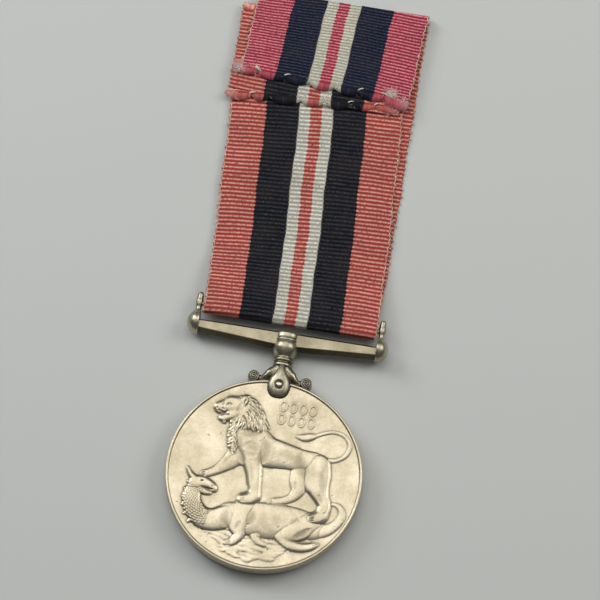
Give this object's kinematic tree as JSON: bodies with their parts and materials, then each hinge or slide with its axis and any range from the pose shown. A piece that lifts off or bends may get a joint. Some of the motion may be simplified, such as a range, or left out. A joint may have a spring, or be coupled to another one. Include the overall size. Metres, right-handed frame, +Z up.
{
  "type": "service medal with ribbon",
  "caption": "Struck round service medal on a claw and straight bar suspender, hung from a striped ribbon that is folded over at the top and stitched.",
  "frame": {"origin": "centre of the footprint on the table, with the medal lying on its back", "axes": "+Z up off the table and out of the face with the lion, +Y from the disc to the ribbon's top fold, +X across"},
  "size_m": [0.0378, 0.1142, 0.0049],
  "materials": {
    "medal_nickel": "worn pale cupro-nickel",
    "suspender_nickel": "toned grey cupro-nickel",
    "bar_nickel": "rubbed cupro-nickel with a fine grain",
    "ribbon_weave": "ribbed watered silk, striped red, navy and white",
    "thread": "matt cotton"
  },
  "bodies": {
    "medal": {"medal_disc": "medal_nickel", "claw": "suspender_nickel", "claw_rivet": "suspender_nickel", "suspender_stem": "suspender_nickel", "suspender_bar": "bar_nickel", "bar_end_left": "suspender_nickel", "bar_end_right": "suspender_nickel", "ribbon_rod": "bar_nickel"},
    "ribbon_strip": {"ribbon": "ribbon_weave", "flap_stitches": "thread", "tuck_stitches": "thread"}
  },
  "joints": [
    {"name": "ribbon_swing", "type": "hinge", "parent": "medal", "child": "ribbon_strip", "pos_m": [0, -0.0081, 0.00247], "axis": [1, 0, 0], "range_deg": [-130, 140]}
  ]
}
